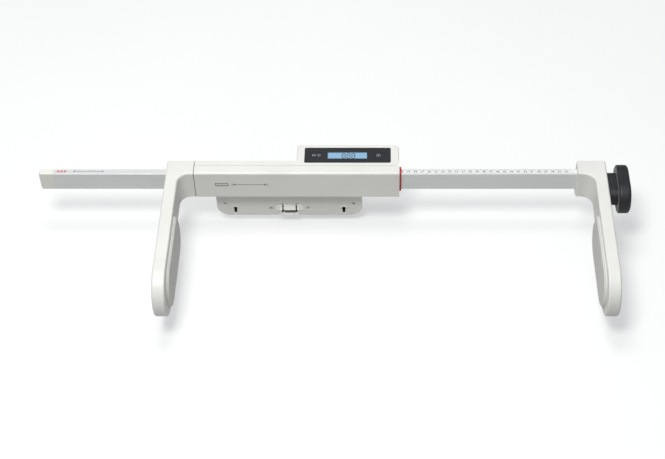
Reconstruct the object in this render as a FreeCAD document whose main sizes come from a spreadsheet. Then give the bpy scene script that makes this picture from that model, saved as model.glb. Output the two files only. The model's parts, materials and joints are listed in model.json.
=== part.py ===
import FreeCAD, Part
import math
import os
import re
import Sketcher

# Digital infant length measuring rod that hangs on a baby scale.
# X runs along the rail towards the foot end, Y points backwards, Z points up.
# The origin is the middle between the two keyholes, on the front face of the mount plate.
# At rest the rod reads 59.6 cm between the head pad and the foot pad.

DIMENSIONS = [
    ("rail_depth", 10.5, "aluminium rail, front to back"),
    ("rail_bottom", 46.0, "lower edge of the rail"),
    ("rail_top", 77.0, "upper edge of the rail"),
    ("rail_left", -341.5, "left end of the profile, under the end cap"),
    ("rail_right", 461.0, "right end of the profile, inside the foot arm"),
    ("rail_wall", 1.4, "wall of the hollow profile"),
    ("rail_round", 0.8, "rounding of the profile's long edges"),
    ("cap_length", 21.0, "visible length of the end cap"),
    ("tape_front", -2.6, "front edge of the scale tape"),
    ("tape_back", 4.4, "rear edge of the scale tape"),
    ("tape_recess", 0.4, "depth of the grooves for tape and strip"),
    ("strip_height", 8.0, "height of the encoder strip"),
    ("body_left", -135.0, "left end of the housing"),
    ("body_right", 163.6, "right end of the housing"),
    ("body_front", -12.5, "front face of the housing"),
    ("body_back", 14.0, "rear face of the housing"),
    ("body_bottom", 36.5, "underside of the housing"),
    ("body_top", 85.5, "top of the housing"),
    ("seam", 4.0, "joint between front housing and rear cover"),
    ("arm_groove", 1.1, "depth of the groove between head arm and housing"),
    ("seam_groove", 0.3, "small chamfer on both sides of that joint"),
    ("shell_wall", 2.5, "wall of the mouldings"),
    ("soft_edge", 3.0, "rounding of the moulded outer edges"),
    ("gap", 0.5, "clearance between the rail and the openings"),
    ("pod_left", 13.2, "left side of the display pod"),
    ("pod_right", 163.1, "right side of the display pod"),
    ("pod_back", 47.4, "rear side of the display pod"),
    ("pod_bottom", 57.5, "underside of the display pod"),
    ("panel_left", 24.5, "left edge of the display panel"),
    ("panel_right", 151.0, "right edge of the display panel"),
    ("panel_front", 9.8, "front edge of the display panel"),
    ("panel_back", 41.0, "rear edge of the display panel"),
    ("panel_seat", 84.4, "height of the panel's seat in the pod"),
    ("panel_face", 85.7, "upper face of the display panel"),
    ("window_left", 58.6, "left edge of the display window"),
    ("window_right", 116.1, "right edge of the display window"),
    ("window_front", 18.5, "front edge of the display window"),
    ("window_back", 32.0, "rear edge of the display window"),
    ("key_width", 17.0, "width of a key"),
    ("key_depth", 12.0, "front to back size of a key"),
    ("hold_middle", 41.5, "middle of the left key"),
    ("start_middle", 133.0, "middle of the right key"),
    ("key_row", 25.3, "middle line of both keys"),
    ("key_play", 0.2, "gap round a key"),
    ("head_outer", -175.5, "outer face of the head arm"),
    ("foot_outer", 464.5, "outer face of the foot arm"),
    ("arm_thickness", 18.0, "thickness of an arm"),
    ("block_length", 40.5, "length of the head arm's block along the rail"),
    ("foot_block_length", 42.3, "length of the foot arm's block along the rail"),
    ("arm_corner", 17.0, "inner corner between block and arm"),
    ("nose_centre", -194.5, "centre of the arm's rounded front end"),
    ("nose_radius", 40.0, "radius of the arm's rounded front end"),
    ("heel_start", -106.0, "where the lower edge starts to rise"),
    ("heel_radius", 31.0, "radius of the rise to the neck, up to the level of the underside"),
    ("pad_proud", 4.0, "how far a pad stands off its arm"),
    ("pad_bevel", 2.5, "sloped edge of a pad"),
    ("pad_top", 76.0, "upper edge of a pad"),
    ("pad_bottom", 9.0, "lower edge of a pad"),
    ("pad_nose", -218.5, "front end of a pad"),
    ("pad_rear", -73.0, "rear end of a pad"),
    ("pad_heel", 30.0, "radius of the pad's lower rear corner"),
    ("pad_corner", 10.0, "radius of the pad's upper rear corner"),
    ("pad_lean", 21.4, "lean of the pad's rear edge, in degrees"),
    ("grip_middle", -20.0, "middle of the handle, front to back"),
    ("grip_neck_length", 54.0, "long size of the handle's neck"),
    ("grip_neck_height", 29.0, "short size of the handle's neck"),
    ("grip_length", 78.5, "long size of the handle's head"),
    ("grip_height", 50.5, "short size of the handle's head"),
    ("grip_step", 478.9, "where the handle's head starts"),
    ("grip_end", 496.4, "outer face of the handle"),
    ("grip_round", 4.5, "rounding of the handle's head"),
    ("plate_half", 108.3, "half the width of the mount plate"),
    ("plate_bottom", -15.3, "lower edge of the mount plate"),
    ("plate_thickness", 4.0, "thickness of the mount plate"),
    ("plate_corner", 19.0, "lower corners of the mount plate"),
    ("keyhole_half", 81.0, "half the distance between the keyholes"),
    ("keyhole_radius", 3.25, "round part of a keyhole"),
    ("keyhole_slot", 2.0, "half the width of a keyhole's slot"),
    ("keyhole_drop", 10.6, "depth of a keyhole below its centre"),
    ("keyhole_wall", 1.6, "thickness of the plate round a keyhole"),
    ("keyhole_room", 4.3, "half the width of the space for a stud's head"),
    ("latch_half", 14.0, "half the width of the latch frame"),
    ("latch_window", 10.9, "half the width of the latch opening"),
    ("latch_tongue", 8.9, "half the width of the latch tongue"),
    ("latch_post", 13.2, "half the width of the latch frame's part inside the plate"),
    ("latch_pin_back", 2.2, "latch pin behind the plate's front face"),
    ("latch_pin_height", 5.0, "latch pin above the keyhole line"),
    ("door_left", 33.0, "left edge of the battery opening"),
    ("door_right", 142.1, "right edge of the battery opening"),
    ("door_front", 17.0, "front edge of the battery opening"),
    ("door_back", 42.0, "rear edge of the battery opening"),
    ("door_play", 0.3, "gap round the battery door"),
    ("cell_radius", 7.1, "radius of an AA cell"),
    ("cell_length", 50.5, "length of an AA cell"),
]

ALIASES = {alias for alias, value, meaning in DIMENSIONS}

# Each direction of build: the origin plane of its sketches and which way that plane's normal points.
PLANES = {"X": ("YZ_Plane", 1), "Y": ("XZ_Plane", -1), "Z": ("XY_Plane", 1)}

doc = FreeCAD.newDocument("LengthRod")


# ---------------------------------------------------------------- helpers

def make_sheet():
    """Write the driving dimensions to the spreadsheet."""
    sheet = doc.addObject("Spreadsheet::Sheet", "Dim")
    for row, (alias, value, meaning) in enumerate(DIMENSIONS, start=1):
        sheet.set("A%d" % row, alias)
        sheet.set("B%d" % row, str(value))
        sheet.set("C%d" % row, meaning)
        sheet.setAlias("B%d" % row, alias)
    doc.recompute()
    return sheet


def spelled(formula):
    """Give a formula's dimension names the name of the sheet that holds them."""
    def full_name(match):
        word = match.group(0)
        return "Dim." + word if word in ALIASES else word
    return re.sub(r"[a-z_]+", full_name, str(formula))


def bind(item, name, formula):
    """Tie a property to the sheet."""
    item.setExpression(name, spelled(formula))


def size(formula):
    """The present value of a formula, in millimetres."""
    return float(sheet.evalExpression(spelled(formula)))


def new_body(name):
    body = doc.addObject("PartDesign::Body", name)
    body.Label = name
    body.Placement = FreeCAD.Placement()
    return body


def new_sketch(body, name, axis, position):
    """A sketch across an axis, at a position along it."""
    role, sense = PLANES[axis]
    plane = next(item for item in body.Origin.OriginFeatures if item.Role == role)
    sketch = body.newObject("Sketcher::SketchObject", name)
    sketch.AttachmentSupport = [(plane, "")]
    sketch.MapMode = "FlatFace"
    offset = "(%s)" % position if sense > 0 else "-(%s)" % position
    bind(sketch, "AttachmentOffset.Base.z", offset)
    return sketch


def fix_point(sketch, geometry, point, across, up):
    """Hold a point of the sketch at two bound coordinates."""
    for kind, formula in (("DistanceX", across), ("DistanceY", up)):
        index = sketch.addConstraint(Sketcher.Constraint(kind, -1, 1, geometry, point, size(formula)))
        bind(sketch, "Constraints[%d]" % index, formula)


def fix_radius(sketch, geometry, formula):
    index = sketch.addConstraint(Sketcher.Constraint("Radius", geometry, size(formula)))
    bind(sketch, "Constraints[%d]" % index, formula)


def arc_between(start, end, turn, radius):
    """An arc of less than half a turn. It turns left or right on its way from start to end."""
    chord = end.sub(start)
    rise = math.sqrt(max(radius ** 2 - (chord.Length / 2) ** 2, 0.0))
    left = FreeCAD.Vector(-chord.y, chord.x, 0).normalize()
    side = 1 if turn == "left" else -1
    centre = start.add(chord.multiply(0.5)).add(left.multiply(rise * side))
    first, last = (start, end) if turn == "left" else (end, start)
    begin = math.atan2(first.y - centre.y, first.x - centre.x)
    finish = math.atan2(last.y - centre.y, last.x - centre.x)
    if finish < begin:
        finish += 2 * math.pi
    circle = Part.Circle(centre, FreeCAD.Vector(0, 0, 1), radius)
    return Part.ArcOfCircle(circle, begin, finish)


def draw_outline(sketch, corners):
    """Draw a closed chain. A corner is (across, up), or (across, up, turn, radius) where an arc arrives."""
    places = [FreeCAD.Vector(size(corner[0]), size(corner[1]), 0) for corner in corners]
    edges = []
    for number, corner in enumerate(corners):
        start = FreeCAD.Vector(places[number - 1])
        end = FreeCAD.Vector(places[number])
        if len(corner) == 2:
            edges.append((sketch.addGeometry(Part.LineSegment(start, end), False), 1, 2))
            continue
        arc = sketch.addGeometry(arc_between(start, end, corner[2], size(corner[3])), False)
        edges.append((arc, 1, 2) if corner[2] == "left" else (arc, 2, 1))
    for number, corner in enumerate(corners):
        geometry, start, end = edges[number]
        following, next_start, next_end = edges[(number + 1) % len(edges)]
        sketch.addConstraint(Sketcher.Constraint("Coincident", geometry, end, following, next_start))
        fix_point(sketch, geometry, end, corner[0], corner[1])
        if len(corner) == 4:
            fix_radius(sketch, geometry, corner[3])


def draw_circle(sketch, across, up, radius):
    centre = FreeCAD.Vector(size(across), size(up), 0)
    circle = sketch.addGeometry(Part.Circle(centre, FreeCAD.Vector(0, 0, 1), size(radius)), False)
    fix_radius(sketch, circle, radius)
    fix_point(sketch, circle, 3, across, up)


def rectangle(left, right, bottom, top):
    return [(left, bottom), (right, bottom), (right, top), (left, top)]


def rounded(left, right, bottom, top, radius):
    """The corners of a rectangle with four equal round corners."""
    inner_left = "(%s) + %s" % (left, radius)
    inner_right = "(%s) - %s" % (right, radius)
    inner_bottom = "(%s) + %s" % (bottom, radius)
    inner_top = "(%s) - %s" % (top, radius)
    return [
        (inner_right, bottom),
        (right, inner_bottom, "left", radius),
        (right, inner_top),
        (inner_right, top, "left", radius),
        (inner_left, top),
        (left, inner_top, "left", radius),
        (left, inner_bottom),
        (inner_left, bottom, "left", radius),
    ]


def slab(body, name, axis, low, high, loops, cut=False):
    """Add or remove material between two positions along an axis. A loop is a list of corners or a circle."""
    sense = PLANES[axis][1]
    start = low if (sense > 0) != cut else high
    sketch = new_sketch(body, name + "_sketch", axis, start)
    for loop in loops:
        if isinstance(loop, tuple):
            draw_circle(sketch, *loop)
        else:
            draw_outline(sketch, loop)
    kind = "PartDesign::Pocket" if cut else "PartDesign::Pad"
    before = 0.0
    if cut:
        doc.recompute()
        before = body.Shape.Volume
    feature = body.newObject(kind, name)
    feature.Profile = sketch
    bind(feature, "Length", "(%s) - (%s)" % (high, low))
    if cut:
        doc.recompute()
        if not body.Shape.Volume < before:
            raise RuntimeError("%s cuts nothing" % name)
    return feature


def flat_at(edge, axis, formula):
    """Whether an edge lies in the plane across an axis at a position."""
    low = getattr(edge.BoundBox, axis + "Min")
    high = getattr(edge.BoundBox, axis + "Max")
    place = size(formula)
    return abs(low - place) < 0.01 and abs(high - place) < 0.01


def dress(body, name, kind, amount, wanted):
    """Fillet or chamfer the edges that a test picks."""
    doc.recompute()
    base = body.Tip
    names = ["Edge%d" % (number + 1) for number, edge in enumerate(base.Shape.Edges) if wanted(edge)]
    if not names:
        raise RuntimeError("%s finds no edge" % name)
    feature = body.newObject("PartDesign::" + kind, name)
    feature.Base = (base, names)
    bind(feature, "Radius" if kind == "Fillet" else "Size", amount)
    return feature


def new_box(name, x_range, y_range, z_range):
    """A plain block between two corners."""
    box = doc.addObject("Part::Box", name)
    box.Label = name
    ranges = (("x", "Length", x_range), ("y", "Width", y_range), ("z", "Height", z_range))
    for letter, side, (low, high) in ranges:
        bind(box, side, "(%s) - (%s)" % (high, low))
        bind(box, "Placement.Base." + letter, low)
    return box


def new_cylinder(name, axis, start, end, others, radius):
    """A cylinder along an axis. The others are its two centre coordinates, in the order x, y, z."""
    cylinder = doc.addObject("Part::Cylinder", name)
    cylinder.Label = name
    aims = {"X": FreeCAD.Vector(1, 0, 0), "Y": FreeCAD.Vector(0, 1, 0), "Z": FreeCAD.Vector(0, 0, 1)}
    cylinder.Placement.Rotation = FreeCAD.Rotation(FreeCAD.Vector(0, 0, 1), aims[axis])
    rest = iter(others)
    for letter in "xyz":
        bind(cylinder, "Placement.Base." + letter, start if letter == axis.lower() else next(rest))
    bind(cylinder, "Height", "(%s) - (%s)" % (end, start))
    bind(cylinder, "Radius", radius)
    return cylinder


def fuse(name, pieces):
    union = doc.addObject("Part::MultiFuse", name)
    union.Label = name
    union.Shapes = pieces
    return union


def group(name, pieces):
    """Several equal solids that share one node."""
    compound = doc.addObject("Part::Compound", name)
    compound.Label = name
    compound.Links = pieces
    return compound


def repeat(name, pattern, places, aim):
    """Copies of one piece that is modelled along +Z, each turned to an aim and moved to a place."""
    turn = FreeCAD.Rotation(FreeCAD.Vector(0, 0, 1), FreeCAD.Vector(*aim))
    links = []
    for number, place in enumerate(places):
        link = doc.addObject("App::Link", "%s_%d" % (name, number + 1))
        link.LinkedObject = pattern
        link.Placement = FreeCAD.Placement(FreeCAD.Vector(), turn)
        for letter, formula in zip("xyz", place):
            bind(link, "Placement.Base." + letter, formula)
        links.append(link)
    return group(name, links)


def new_screw(name, head_radius, head_height, shank_radius, length):
    """A pan-head screw with a cross recess. It stands on its head's seat, with the shank pointing to -Z."""
    screw = new_body(name)
    slab(screw, name + "_shank", "Z", -length, 0, [(0, 0, shank_radius)])
    slab(screw, name + "_head", "Z", 0, head_height, [(0, 0, head_radius)])
    dress(screw, name + "_dome", "Fillet", 0.45 * head_height, lambda edge: flat_at(edge, "Z", head_height))
    arm = 0.55 * head_radius
    half = 0.14 * head_radius
    recess = 0.5 * head_height
    cross = [(-arm, -half), (-half, -half), (-half, -arm), (half, -arm), (half, -half), (arm, -half),
             (arm, half), (half, half), (half, arm), (-half, arm), (-half, half), (-arm, half)]
    slab(screw, name + "_recess", "Z", recess, head_height, [cross], cut=True)
    return screw


def new_coil(name, centre, axis, radius, wire, pitch, turns):
    """A round wire wound along an axis from its centre point."""
    helix = doc.addObject("Part::Helix", name + "_path")
    helix.Pitch = pitch
    helix.Height = pitch * turns
    helix.Radius = radius
    section = doc.addObject("Part::Circle", name + "_wire")
    section.Radius = wire
    section.Placement = FreeCAD.Placement(FreeCAD.Vector(radius, 0, 0), FreeCAD.Rotation(FreeCAD.Vector(1, 0, 0), 90))
    coil = doc.addObject("Part::Sweep", name)
    coil.Label = name
    coil.Sections = [section]
    coil.Spine = (helix, [])
    coil.Solid = True
    coil.Frenet = True
    coil.Placement.Rotation = FreeCAD.Rotation(FreeCAD.Vector(0, 0, 1), FreeCAD.Vector(*axis))
    for letter, formula in zip("xyz", centre):
        bind(coil, "Placement.Base." + letter, formula)
    return coil


# ---------------------------------------------------------------- rail and what rides on it

def make_rail():
    """Hollow aluminium profile with grooves for the scale tape and the encoder strip."""
    rail = new_body("rail")
    outer = rectangle("-rail_depth / 2", "rail_depth / 2", "rail_bottom", "rail_top")
    inner = rectangle("-rail_depth / 2 + rail_wall", "rail_depth / 2 - rail_wall",
                      "rail_bottom + rail_wall", "rail_top - rail_wall")
    slab(rail, "profile", "X", "rail_left", "rail_right", [outer, inner])

    def long_corner(edge):
        box = edge.BoundBox
        at_side = flat_at(edge, "Y", "rail_depth / 2") or flat_at(edge, "Y", "-rail_depth / 2")
        return box.XLength > 1 and at_side

    dress(rail, "profile_round", "Fillet", "rail_round", long_corner)
    groove = rectangle("tape_front", "tape_back", "rail_top - tape_recess", "rail_top + 1")
    slab(rail, "tape_groove", "X", "rail_left", "rail_right", [groove], cut=True)
    strip = rectangle("rail_depth / 2 - tape_recess", "rail_depth / 2 + 1",
                      "(rail_bottom + rail_top - strip_height) / 2",
                      "(rail_bottom + rail_top + strip_height) / 2")
    slab(rail, "strip_groove", "X", "rail_left", "rail_right", [strip], cut=True)
    windows = [rounded(-328.2, -325.8, low, "%s + 8" % low, 0.6) for low in (48, 67)]
    slab(rail, "snap_windows", "Y", "-rail_depth / 2 - 1", "-rail_depth / 2 + rail_wall + 0.5", windows, cut=True)
    screws = [(x, z, 1.6) for x in (438, 452) for z in (54, 69)]
    slab(rail, "foot_holes", "Y", "rail_depth / 2 - rail_wall - 0.5", "rail_depth / 2 + 1", screws, cut=True)
    slab(rail, "stop_hole", "Y", "rail_depth / 2 - rail_wall - 0.5", "rail_depth / 2 + 1",
         [(-337, "(rail_bottom + rail_top) / 2", 1.3)], cut=True)
    return rail


def make_rail_end_cap():
    """Moulded cap with a plug that snaps into two windows in the rail's front wall."""
    cap = new_body("rail_end_cap")
    face = rounded("-rail_depth / 2", "rail_depth / 2", "rail_bottom", "rail_top", "rail_round")
    slab(cap, "cap_face", "X", "rail_left - cap_length", "rail_left", [face])
    dress(cap, "cap_round", "Fillet", 3.6, lambda edge: flat_at(edge, "X", "rail_left - cap_length"))
    plug = rectangle("-rail_depth / 2 + rail_wall + 0.05", "rail_depth / 2 - rail_wall - 0.05",
                     "rail_bottom + rail_wall + 0.05", "rail_top - rail_wall - 0.05")
    slab(cap, "cap_plug", "X", "rail_left", "rail_left + 2.5", [plug])
    prongs = [rectangle(-344, -324, low, "%s + 10" % low) for low in (48, 65)]
    slab(cap, "cap_prongs", "Y", "-rail_depth / 2 + rail_wall + 0.05", "-rail_depth / 2 + rail_wall + 3", prongs)
    tabs = [rounded(-328, -326, "%s + 0.2" % low, "%s + 7.8" % low, 0.5) for low in (48, 67)]
    slab(cap, "cap_tabs", "Y", "-rail_depth / 2 + 0.1", "-rail_depth / 2 + rail_wall + 1", tabs)
    return cap


def make_scale_tape():
    """Printed film in the top groove, from just past the 80 cm tick to the foot arm."""
    return new_box("scale_tape", (-42, "foot_outer - foot_block_length"), ("tape_front", "tape_back"),
                   ("rail_top - tape_recess", "rail_top - 0.05"))


def make_encoder_strip():
    """Magnetic strip in the rear groove, read by the sensor board."""
    return new_box("encoder_strip", (-330, 420), ("rail_depth / 2 - tape_recess", "rail_depth / 2 - 0.05"),
                   ("(rail_bottom + rail_top - strip_height) / 2", "(rail_bottom + rail_top + strip_height) / 2"))


def make_rail_stop():
    """Block on the rail's back that meets the left glide when the rail is fully out."""
    stop = new_body("rail_stop")
    block = rounded("rail_left + 0.5", -333, 57, 66, 1)
    slab(stop, "stop_block", "Y", "rail_depth / 2", "rail_depth / 2 + 2.5", [block])
    slab(stop, "stop_bore", "Y", "rail_depth / 2 - 1", "rail_depth / 2 + 3",
         [(-337, "(rail_bottom + rail_top) / 2", 1.3)], cut=True)
    slab(stop, "stop_sink", "Y", "rail_depth / 2 + 1", "rail_depth / 2 + 3",
         [(-337, "(rail_bottom + rail_top) / 2", 2.4)], cut=True)
    return stop


def make_stop_screw():
    pattern = new_screw("stop_screw_pattern", 2.2, 1.4, 1.2, 4.5)
    return repeat("stop_screw", pattern, [(-337, "rail_depth / 2 + 1", "(rail_bottom + rail_top) / 2")], (0, 1, 0))


def make_rail_inserts():
    """Two threaded blocks inside the rail's right end."""
    blocks = []
    for number, low in enumerate((48, 63)):
        block = new_body("rail_insert_%d" % (number + 1))
        face = rectangle(432, 458, low, low + 12)
        slab(block, "insert_block_%d" % number, "Y", "-rail_depth / 2 + rail_wall", "rail_depth / 2 - rail_wall", [face])
        holes = [(x, low + 6, 1.5) for x in (438, 452)]
        slab(block, "insert_bores_%d" % number, "Y", "-rail_depth / 2", "rail_depth / 2", [holes[0], holes[1]], cut=True)
        blocks.append(block)
    return group("rail_inserts", blocks)


def make_foot_screws():
    pattern = new_screw("foot_screw_pattern", 2.8, 1.8, 1.45, 12)
    places = [(x, "body_back - 2.6", z) for x in (438, 452) for z in (54, 69)]
    return repeat("foot_screws", pattern, places, (0, 1, 0))


# ---------------------------------------------------------------- arms and pads

def arm_side():
    """Side view of an arm: straight top, round front end, and a heel that rises to the neck."""
    return [
        ("nose_centre", "body_top"),
        ("nose_centre - nose_radius", "body_top - nose_radius", "left", "nose_radius"),
        ("nose_centre", "body_top - 2 * nose_radius", "left", "nose_radius"),
        ("heel_start", "body_top - 2 * nose_radius"),
        ("heel_start + heel_radius * cos(30)", "body_top - 2 * nose_radius + heel_radius / 2",
         "left", "heel_radius"),
        ("heel_start + 2 * heel_radius * cos(30)", "body_top - 2 * nose_radius + heel_radius",
         "right", "heel_radius"),
        ("body_back", "body_bottom"),
        ("body_back", "body_top"),
    ]


def pad_side(inset):
    """Outline of a pad, moved inwards by an inset: round nose, large heel and a leaning rear edge."""
    top = "pad_top - %s" % inset
    bottom = "pad_bottom + %s" % inset
    nose = "(pad_top - pad_bottom) / 2 - %s" % inset
    middle = "(pad_top + pad_bottom) / 2"
    nose_middle = "pad_nose + (pad_top - pad_bottom) / 2"
    heel_middle = "pad_rear - pad_heel"
    heel_level = "(pad_bottom + pad_heel)"
    corner_level = "(pad_top - pad_corner)"
    drop = "((pad_heel - pad_corner) - (%s - %s) * sin(pad_lean)) / cos(pad_lean)" % (corner_level, heel_level)
    corner_middle = "%s + %s" % (heel_middle, drop)
    heel = "(pad_heel - %s)" % inset
    corner = "(pad_corner - %s)" % inset
    return [
        (nose_middle, top),
        ("pad_nose + %s" % inset, middle, "left", nose),
        (nose_middle, bottom, "left", nose),
        (heel_middle, bottom),
        ("%s + %s * cos(pad_lean)" % (heel_middle, heel), "%s + %s * sin(pad_lean)" % (heel_level, heel),
         "left", heel),
        ("%s + %s * cos(pad_lean)" % (corner_middle, corner), "%s + %s * sin(pad_lean)" % (corner_level, corner)),
        (corner_middle, top, "left", corner),
    ]


def shape_arm(name, outer, inner, end, inward):
    """An arm and its block. Inward is 1 when the block lies towards +X."""
    arm = new_body(name)
    low, high = (outer, inner) if inward > 0 else (inner, outer)
    slab(arm, name + "_blade", "X", low, high, [arm_side()])
    low, high = (outer, end) if inward > 0 else (end, outer)
    block = rectangle("body_front", "body_back", "body_bottom", "body_top")
    slab(arm, name + "_block", "X", low, high, [block])

    def upright_inner_corner(edge):
        return flat_at(edge, "X", inner) and flat_at(edge, "Y", "body_front") and edge.BoundBox.ZLength > 40

    dress(arm, name + "_corner", "Fillet", "arm_corner", upright_inner_corner)

    def outer_rim(edge):
        return flat_at(edge, "X", outer)

    dress(arm, name + "_outer_round", "Fillet", "soft_edge", outer_rim)

    def inner_rim(edge):
        box = edge.BoundBox
        flat = flat_at(edge, "Z", "body_top") or flat_at(edge, "Z", "body_bottom")
        on_block = flat_at(edge, "Y", "body_front") and flat
        on_corner = flat and box.XLength > 10 and box.YLength > 10
        on_blade = flat_at(edge, "X", inner) and box.YMax < size("body_front") - 1
        return on_block or on_corner or on_blade

    dress(arm, name + "_inner_round", "Fillet", "soft_edge - 0.5", inner_rim)
    return arm


def hollow_blade(arm, name, outer, inner, inward):
    """Take out the blade's inside, under the pad."""
    low, high = ("%s + shell_wall" % outer, inner) if inward > 0 else (inner, "%s - shell_wall" % outer)
    slab(arm, name + "_hollow", "X", low, high, [pad_side(6)], cut=True)


def make_head_arm():
    """Fixed arm at the infant's head. The rail passes through its block."""
    outer = "head_outer"
    inner = "head_outer + arm_thickness"
    arm = shape_arm("head_arm", outer, inner, "head_outer + block_length", 1)
    hollow_blade(arm, "head_arm", outer, inner, 1)
    opening = rectangle("-rail_depth / 2 - gap", "rail_depth / 2 + gap", "rail_bottom - gap", "rail_top + gap")
    slab(arm, "head_opening", "X", "head_outer - 1", "body_left + 1", [opening], cut=True)
    notch = rectangle("rail_depth / 2", "rail_depth / 2 + 3.2", 56.3, 66.7)
    slab(arm, "head_notch", "X", "head_outer - 1", "body_left + 1", [notch], cut=True)
    slab(arm, "head_bores", "X", "body_left - 9", "body_left + 1", [place + (1.2,) for place in ARM_SCREWS], cut=True)
    ring = rectangle("body_front - 1", "body_back + 1", "body_bottom - 1", "body_top + 1")
    core = rectangle("body_front + arm_groove", "body_back - arm_groove",
                     "body_bottom + arm_groove", "body_top - arm_groove")
    slab(arm, "head_groove", "X", "body_left - 0.9", "body_left + 1", [ring, core], cut=True)
    return arm


def outer_loop(edge):
    """Whether an edge lies on the block's outer faces rather than round its opening."""
    sides = (("Y", "body_front"), ("Y", "body_back"), ("Z", "body_bottom"), ("Z", "body_top"))
    return any(flat_at(edge, axis, place) for axis, place in sides)


def make_foot_arm():
    """Arm at the infant's feet, fixed to the rail's right end."""
    outer = "foot_outer"
    inner = "foot_outer - arm_thickness"
    arm = shape_arm("foot_arm", outer, inner, "foot_outer - foot_block_length", -1)
    hollow_blade(arm, "foot_arm", outer, inner, -1)
    socket = rectangle("-rail_depth / 2 - 0.02", "rail_depth / 2 + 0.02", "rail_bottom - 0.02", "rail_top + 0.02")
    slab(arm, "foot_socket", "X", "foot_outer - foot_block_length - 1", "rail_right", [socket], cut=True)
    holes = [(x, z, 1.6) for x in (438, 452) for z in (54, 69)]
    slab(arm, "foot_bores", "Y", "rail_depth / 2 - 1", "body_back + 1", holes, cut=True)
    sinks = [(x, z, 3.1) for x in (438, 452) for z in (54, 69)]
    slab(arm, "foot_sinks", "Y", "body_back - 2.6", "body_back + 1", sinks, cut=True)
    slab(arm, "grip_bores", "X", "foot_outer - 12", "foot_outer + 1", [place + (1.4,) for place in GRIP_SCREWS],
         cut=True)
    dress(arm, "foot_collar", "Chamfer", 1.6,
          lambda edge: flat_at(edge, "X", "foot_outer - foot_block_length") and outer_loop(edge))
    return arm


def make_pad(name, inner, inward):
    """Raised plate that the infant touches, with a rim that locates it in the arm."""
    pad = new_body(name)
    face = "%s + pad_proud" % inner if inward > 0 else "%s - pad_proud" % inner
    low, high = (inner, face) if inward > 0 else (face, inner)
    slab(pad, name + "_plate", "X", low, high, [pad_side(0)])
    dress(pad, name + "_slope", "Chamfer", "pad_bevel", lambda edge: flat_at(edge, "X", face))
    back = "%s - 4" % inner if inward > 0 else "%s + 4" % inner
    low, high = (back, inner) if inward > 0 else (inner, back)
    slab(pad, name + "_rim", "X", low, high, [pad_side(6.1), pad_side(8)])
    return pad


# ---------------------------------------------------------------- handle

def obround(middle, length, height):
    """An outline with two half-round ends, each drawn as two quarter arcs."""
    level = "(rail_bottom + rail_top) / 2"
    front = "%s - (%s - %s) / 2" % (middle, length, height)
    back = "%s + (%s - %s) / 2" % (middle, length, height)
    radius = "(%s) / 2" % height
    return [
        (back, "%s - %s" % (level, radius)),
        ("%s + %s" % (back, radius), level, "left", radius),
        (back, "%s + %s" % (level, radius), "left", radius),
        (front, "%s + %s" % (level, radius)),
        ("%s - %s" % (front, radius), level, "left", radius),
        (front, "%s - %s" % (level, radius), "left", radius),
    ]


def make_handle_core():
    """Rigid core that is screwed to the foot arm."""
    core = new_body("handle_core")
    neck = obround("grip_middle", "(grip_neck_length - 6)", "(grip_neck_height - 6)")
    slab(core, "core_neck", "X", "foot_outer", "grip_step + 3", [neck])
    head = obround("grip_middle", "(grip_length - 12)", "(grip_height - 12)")
    slab(core, "core_head", "X", "grip_step + 3", "grip_end - 5", [head])
    slab(core, "core_bores", "X", "foot_outer - 1", "grip_end", [place + (1.6,) for place in GRIP_SCREWS], cut=True)
    slab(core, "core_sinks", "X", "grip_step + 6", "grip_end", [place + (3.2,) for place in GRIP_SCREWS], cut=True)
    return core


def make_handle_grip():
    """Soft-touch cover over the core: an oblong neck and a larger oblong head."""
    grip = new_body("handle_grip")
    neck = obround("grip_middle", "grip_neck_length", "grip_neck_height")
    slab(grip, "grip_neck", "X", "foot_outer", "grip_step + 2", [neck])
    head = obround("grip_middle", "grip_length", "grip_height")
    slab(grip, "grip_head", "X", "grip_step", "grip_end", [head])
    dress(grip, "grip_face_round", "Fillet", "grip_round", lambda edge: flat_at(edge, "X", "grip_end"))

    def rear_rim(edge):
        box = edge.BoundBox
        level = size("(rail_bottom + rail_top) / 2")
        reach = size("grip_neck_height / 2 + 1")
        beyond_neck = box.ZMax > level + reach or box.ZMin < level - reach
        return flat_at(edge, "X", "grip_step") and beyond_neck

    dress(grip, "grip_rear_round", "Fillet", "grip_round - 1.5", rear_rim)
    inner_neck = obround("grip_middle", "(grip_neck_length - 6)", "(grip_neck_height - 6)")
    slab(grip, "grip_neck_hollow", "X", "foot_outer - 1", "grip_step + 3", [inner_neck], cut=True)
    inner_head = obround("grip_middle", "(grip_length - 12)", "(grip_height - 12)")
    slab(grip, "grip_head_hollow", "X", "grip_step + 3", "grip_end - 5", [inner_head], cut=True)
    return grip


def make_handle_screws():
    pattern = new_screw("handle_screw_pattern", 3.0, 2.2, 1.35, 28)
    places = [("grip_step + 6", y, z) for y, z in GRIP_SCREWS]
    return repeat("handle_screws", pattern, places, (1, 0, 0))


# ---------------------------------------------------------------- housing

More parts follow.
